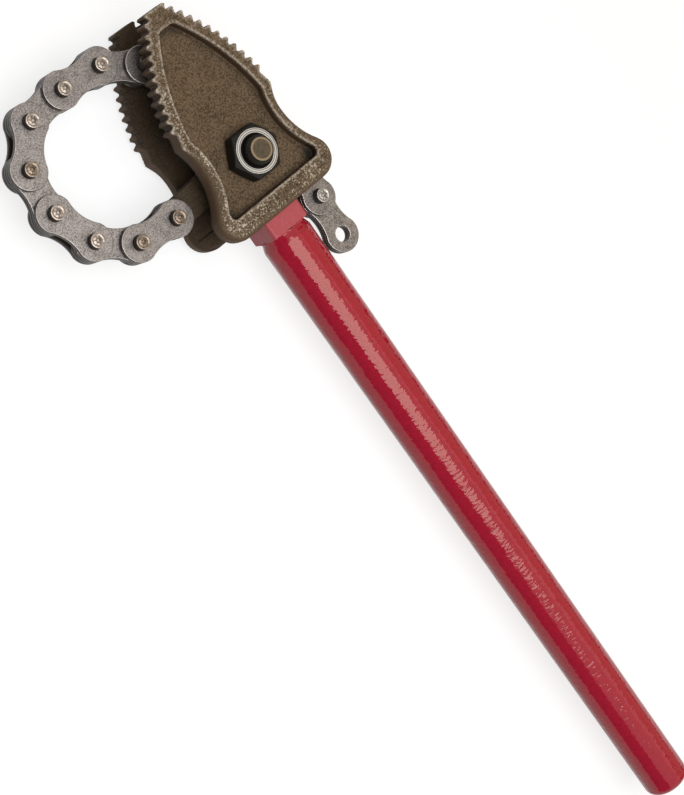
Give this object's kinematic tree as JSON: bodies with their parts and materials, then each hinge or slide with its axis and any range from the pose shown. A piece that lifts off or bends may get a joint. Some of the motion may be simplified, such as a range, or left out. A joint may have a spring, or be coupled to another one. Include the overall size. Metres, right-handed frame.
{
  "type": "chain pipe wrench",
  "caption": "Reversible chain pipe wrench: forged red handle, two toothed jaw plates held by a hex bolt, and a riveted leaf chain on an anchor link that wraps a pipe.",
  "frame": {"origin": "middle of the bolt head's outer face, on the bolt axis", "axes": "+Z along the bolt towards the nut, +Y from the handle to the jaw tip, +X to the side where the chain's loose end comes out"},
  "size_m": [0.1569, 0.5553, 0.0655],
  "materials": {
    "red_paint": "glossy red enamel over a forging",
    "browned_steel": "browned drop forging, worn light on the rim",
    "bolt_steel": "dull oiled steel",
    "nut_steel": "black oxide with a bright turned ring",
    "plate_steel": "satin rolled steel plate",
    "pin_steel": "riveted steel pin, slightly browned"
  },
  "bodies": {
    "wrench": {"handle": "red_paint", "front_jaw": "browned_steel", "rear_jaw": "browned_steel", "jaw_bolt": "bolt_steel", "jaw_nut": "nut_steel"},
    "link01": {"anchor_link": "browned_steel"},
    "link02": {"link02_front_plate": "plate_steel", "link02_rear_plate": "plate_steel", "pin01": "pin_steel", "pin02": "pin_steel"},
    "link03": {"link03_front_plate": "plate_steel", "link03_rear_plate": "plate_steel"},
    "link04": {"link04_front_plate": "plate_steel", "link04_rear_plate": "plate_steel", "pin03": "pin_steel", "pin04": "pin_steel"},
    "link05": {"link05_front_plate": "plate_steel", "link05_rear_plate": "plate_steel"},
    "link06": {"link06_front_plate": "plate_steel", "link06_rear_plate": "plate_steel", "pin05": "pin_steel", "pin06": "pin_steel"},
    "link07": {"link07_front_plate": "plate_steel", "link07_rear_plate": "plate_steel"},
    "link08": {"link08_front_plate": "plate_steel", "link08_rear_plate": "plate_steel", "pin07": "pin_steel", "pin08": "pin_steel"},
    "link09": {"link09_front_plate": "plate_steel", "link09_rear_plate": "plate_steel"},
    "link10": {"link10_front_plate": "plate_steel", "link10_rear_plate": "plate_steel", "pin09": "pin_steel", "pin10": "pin_steel"},
    "link11": {"link11_front_plate": "plate_steel", "link11_rear_plate": "plate_steel"},
    "link12": {"link12_front_plate": "plate_steel", "link12_rear_plate": "plate_steel", "pin11": "pin_steel", "pin12": "pin_steel"},
    "link13": {"link13_front_plate": "plate_steel", "link13_rear_plate": "plate_steel"},
    "link14": {"link14_front_plate": "plate_steel", "link14_rear_plate": "plate_steel", "pin13": "pin_steel", "pin14": "pin_steel"},
    "link15": {"link15_front_plate": "plate_steel", "link15_rear_plate": "plate_steel"}
  },
  "joints": [
    {"name": "link01_hinge", "type": "hinge", "parent": "wrench", "child": "link01", "pos_m": [0, 0, 0.0295], "axis": [0, 0, 1], "range_deg": [0, 16]},
    {"name": "link02_hinge", "type": "hinge", "parent": "link01", "child": "link02", "pos_m": [-0.05061, -0.00443, 0.0295], "axis": [0, 0, 1], "range_deg": [0, 20]},
    {"name": "link03_hinge", "type": "hinge", "parent": "link02", "child": "link03", "pos_m": [-0.07594, -0.00266, 0.0295], "axis": [0, 0, 1], "range_deg": [0, 38]},
    {"name": "link04_hinge", "type": "hinge", "parent": "link03", "child": "link04", "pos_m": [-0.09623, 0.01263, 0.0295], "axis": [0, 0, 1], "range_deg": [0, 38]},
    {"name": "link05_hinge", "type": "hinge", "parent": "link04", "child": "link05", "pos_m": [-0.10492, 0.0365, 0.0295], "axis": [0, 0, 1], "range_deg": [0, 31]},
    {"name": "link06_hinge", "type": "hinge", "parent": "link05", "child": "link06", "pos_m": [-0.10226, 0.06176, 0.0295], "axis": [0, 0, 1], "range_deg": [0, 39]},
    {"name": "link07_hinge", "type": "hinge", "parent": "link06", "child": "link07", "pos_m": [-0.08594, 0.08122, 0.0295], "axis": [0, 0, 1], "range_deg": [0, 47]},
    {"name": "link08_hinge", "type": "hinge", "parent": "link07", "child": "link08", "pos_m": [-0.06078, 0.08475, 0.0295], "axis": [0, 0, 1], "range_deg": [0, 20]},
    {"name": "link09_hinge", "type": "hinge", "parent": "link08", "child": "link09", "pos_m": [-0.03542, 0.08342, 0.0295], "axis": [0, 0, 1], "range_deg": [0, 33]},
    {"name": "link10_hinge", "type": "hinge", "parent": "link09", "child": "link10", "pos_m": [-0.01365, 0.07034, 0.0295], "axis": [0, 0, 1], "range_deg": [0, 22]},
    {"name": "link11_hinge", "type": "hinge", "parent": "link10", "child": "link11", "pos_m": [0.00335, 0.05146, 0.0295], "axis": [0, 0, 1], "range_deg": [0, 20]},
    {"name": "link12_hinge", "type": "hinge", "parent": "link11", "child": "link12", "pos_m": [0.01643, 0.02969, 0.0295], "axis": [0, 0, 1], "range_deg": [0, 20]},
    {"name": "link13_hinge", "type": "hinge", "parent": "link12", "child": "link13", "pos_m": [0.02512, 0.00583, 0.0295], "axis": [0, 0, 1], "range_deg": [0, 20]},
    {"name": "link14_hinge", "type": "hinge", "parent": "link13", "child": "link14", "pos_m": [0.02909, -0.01926, 0.0295], "axis": [0, 0, 1], "range_deg": [0, 20]},
    {"name": "link15_hinge", "type": "hinge", "parent": "link14", "child": "link15", "pos_m": [0.02821, -0.04465, 0.0295], "axis": [0, 0, 1], "range_deg": [-4, 100]}
  ]
}
